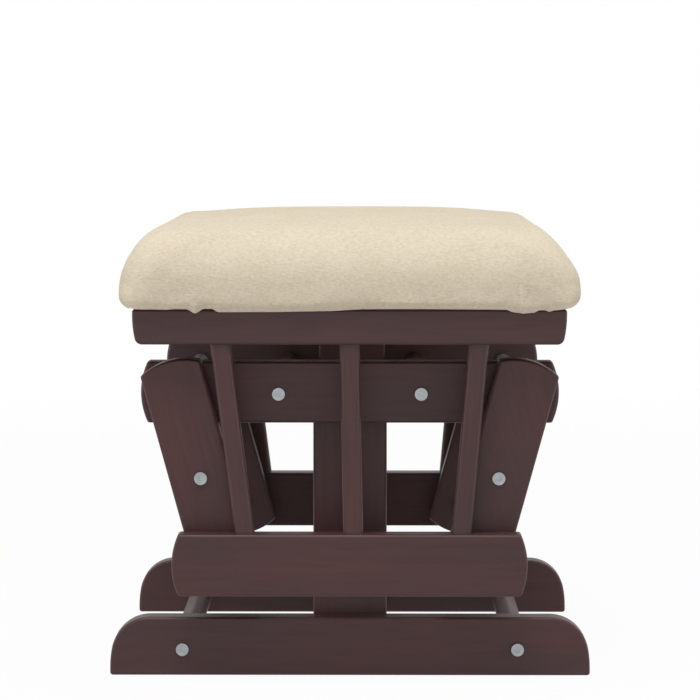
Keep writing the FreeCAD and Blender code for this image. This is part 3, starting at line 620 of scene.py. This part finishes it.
def finish_hem(points):
    """Points of the pad with its lower edge hanging unevenly and creased."""
    half = (PAD_HIGH - PAD_LOW)[:2] / 2
    shaped = points.copy()
    level = points[:, 2] - PAD_LOW[2]
    sides = {
        "front": (points[:, 0], -points[:, 1], half[1], (0, -1, 0)),
        "rear": (points[:, 0], points[:, 1], half[1], (0, 1, 0)),
        "left": (points[:, 1], -points[:, 0], half[0], (-1, 0, 0)),
        "right": (points[:, 1], points[:, 0], half[0], (1, 0, 0)),
    }
    for side, (along, reach, edge, outward) in sides.items():
        near = smooth((reach - (edge - OVERHANG) - HEM_EDGE_GAP) / HEM_EDGE_FADE)
        places, drops = hem_run(side)
        shaped[:, 2] -= np.interp(along, places, drops) * near * (1 - smooth(level / HEM_HEIGHT))
        facing = smooth((reach - (edge - CREASE_BAND)) / CREASE_BAND_FADE)
        for place, height, depth in creases(side):
            offset = (along - place) / CREASE_WIDTH
            fade = facing * (1 - smooth(level / height))
            ridge = np.exp(-(offset * RIDGE_TIGHTNESS) ** 2)
            before = np.exp(-((offset - 1) * VALLEY_TIGHTNESS) ** 2)
            behind = np.exp(-((offset + 1) * VALLEY_TIGHTNESS) ** 2)
            valleys = before + behind
            broad = np.exp(-(offset / BROAD_REACH) ** 2)
            section = RIDGE_HEIGHT * ridge - VALLEY_DEPTH * valleys + BROAD_HEIGHT * broad
            move = depth * fade * section
            shaped += move[:, None] * np.array(outward)
    return shaped


def refine(mesh, top):
    """Split the faces below a height once more, so that they can take the hem's detail."""
    work = bmesh.new()
    work.from_mesh(mesh)
    edges = [edge for edge in work.edges if all(end.co.z < top for end in edge.verts)]
    bmesh.ops.subdivide_edges(work, edges=edges, cuts=1, use_grid_fill=True, smooth=0.0)
    work.to_mesh(mesh)
    work.free()


def make_cushion():
    """Upholstered pad: a crowned form that swells, then its fall to the sides, hem and creases."""
    pad = bpy.data.objects.new("cushion", pad_shell())
    bpy.context.collection.objects.link(pad)
    remesh = pad.modifiers.new("Remesh", "REMESH")
    remesh.mode = "VOXEL"
    remesh.voxel_size = VOXEL
    swap_mesh(pad, baked(pad))
    inflate(pad)
    pad.modifiers.new("Subdivision", "SUBSURF").levels = 1
    swap_mesh(pad, baked(pad))
    refine(pad.data, PAD_LOW[2] + DETAIL_HEIGHT)
    points = coordinates(pad.data)
    above = smooth((points[:, 2] - PAD_LOW[2] - LUMP_START) / LUMP_FADE)
    outward = points - (PAD_LOW + PAD_HIGH) / 2
    outward /= np.linalg.norm(outward, axis=1, keepdims=True)
    points += outward * (lumps(points) * above * LUMP_HEIGHT)[:, None]
    over = points[:, 2] - PAD_LOW[2] - SHOULDER_START
    upper = smooth(over / SHOULDER)
    lift = np.clip(over / (PAD_HIGH[2] - PAD_LOW[2] - SHOULDER_START), 0, 1)
    half = (PAD_HIGH - PAD_LOW)[:2] / 2
    fall = END_FALL * (points[:, 0] / half[0]) ** 2 + FACE_FALL * (points[:, 1] / half[1]) ** 2
    points[:, 2] -= lift * fall
    for place, width, height in FULL_SHOULDERS:
        points[:, 2] += height * upper * np.exp(-((points[:, 0] - place) / width) ** 2)
    set_coordinates(pad.data, finish_hem(points))
    for face in pad.data.polygons:
        face.use_smooth = True
    paint(pad, fleece("fleece"))
    return pad


def add_camera():
    """Camera at the photograph's viewing angle."""
    data = bpy.data.cameras.new("camera")
    data.sensor_width = SENSOR
    data.lens = CAMERA_LENS
    data.clip_end = CAMERA_REACH
    camera = bpy.data.objects.new("camera", data)
    camera.location = CAMERA_PLACE
    camera.rotation_euler = (math.pi / 2 - CAMERA_PITCH, 0, CAMERA_TURN)
    bpy.context.collection.objects.link(camera)
    bpy.context.scene.camera = camera


def add_area(name, place, size, power):
    """Soft rectangular lamp that faces the middle of the ottoman."""
    data = bpy.data.lights.new(name, "AREA")
    data.shape = "SQUARE"
    data.size = size
    data.energy = power
    lamp = bpy.data.objects.new(name, data)
    lamp.location = place
    aim = Vector(LAMP_AIM) - Vector(place)
    lamp.rotation_euler = aim.to_track_quat("-Z", "Y").to_euler()
    bpy.context.collection.objects.link(lamp)


def seen_directly(tree):
    """One for camera, mirror and glass rays, nought for rays that light the object."""
    path = node(tree, "ShaderNodeLightPath")
    either = node(tree, "ShaderNodeMath", operation="MAXIMUM")
    tree.links.new(path.outputs["Is Camera Ray"], either.inputs[0])
    tree.links.new(path.outputs["Is Glossy Ray"], either.inputs[1])
    any_of = node(tree, "ShaderNodeMath", operation="MAXIMUM")
    tree.links.new(either.outputs[0], any_of.inputs[0])
    tree.links.new(path.outputs["Is Transmission Ray"], any_of.inputs[1])
    return any_of.outputs[0]


def add_world():
    """White backdrop, and a softer level that lights the object."""
    world = bpy.data.worlds.new("studio")
    bpy.context.scene.world = world
    world.use_nodes = True
    tree = world.node_tree
    tree.nodes.clear()
    lighting = node(tree, "ShaderNodeBackground", in_Strength=AMBIENT)
    backdrop = node(tree, "ShaderNodeBackground", in_Strength=BACKGROUND)
    for level in (lighting, backdrop):
        level.inputs["Color"].default_value = (1, 1, 1, 1)
    choice = node(tree, "ShaderNodeMixShader")
    tree.links.new(seen_directly(tree), choice.inputs["Fac"])
    tree.links.new(lighting.outputs[0], choice.inputs[1])
    tree.links.new(backdrop.outputs[0], choice.inputs[2])
    output = node(tree, "ShaderNodeOutputWorld")
    tree.links.new(choice.outputs[0], output.inputs["Surface"])


def add_floor():
    """Pale floor that runs into the backdrop and keeps the ottoman's shadow."""
    mesh = bpy.data.meshes.new("floor")
    signs = ((-1, -1), (1, -1), (1, 1), (-1, 1))
    corners = [(x * FLOOR_SPAN, y * FLOOR_SPAN, 0) for x, y in signs]
    mesh.from_pydata(corners, [], [(0, 1, 2, 3)])
    floor = bpy.data.objects.new("floor", mesh)
    bpy.context.collection.objects.link(floor)
    made, tree, surface = shader("floor")
    surface.inputs["Base Color"].default_value = linear(236, 236, 236)
    surface.inputs["Roughness"].default_value = 0.9
    surface.inputs["Specular IOR Level"].default_value = 0.0
    place = node(tree, "ShaderNodeTexCoord")
    distance = node(tree, "ShaderNodeVectorMath", operation="LENGTH")
    tree.links.new(place.outputs["Object"], distance.inputs[0])
    near, far = FLOOR_FADE
    white = node(
        tree, "ShaderNodeMapRange",
        in_From_Min=near, in_From_Max=far, in_To_Min=FLOOR_WHITE_NEAR,
    )
    tree.links.new(distance.outputs["Value"], white.inputs["Value"])
    share = node(tree, "ShaderNodeMath", operation="MULTIPLY")
    tree.links.new(seen_directly(tree), share.inputs[0])
    tree.links.new(white.outputs["Result"], share.inputs[1])
    glow = node(tree, "ShaderNodeEmission", in_Strength=BACKGROUND)
    choice = node(tree, "ShaderNodeMixShader")
    tree.links.new(share.outputs[0], choice.inputs["Fac"])
    tree.links.new(surface.outputs[0], choice.inputs[1])
    tree.links.new(glow.outputs[0], choice.inputs[2])
    tree.links.new(choice.outputs[0], tree.nodes["Material Output"].inputs["Surface"])
    paint(floor, made)


bpy.context.scene.view_settings.view_transform = "Standard"
finish_frame()
cushion = make_cushion()
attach(cushion, "seat")
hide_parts("cushion_cover", "cushion_foam")
add_camera()
add_world()
for lamp in LAMPS:
    add_area(*lamp)
add_floor()
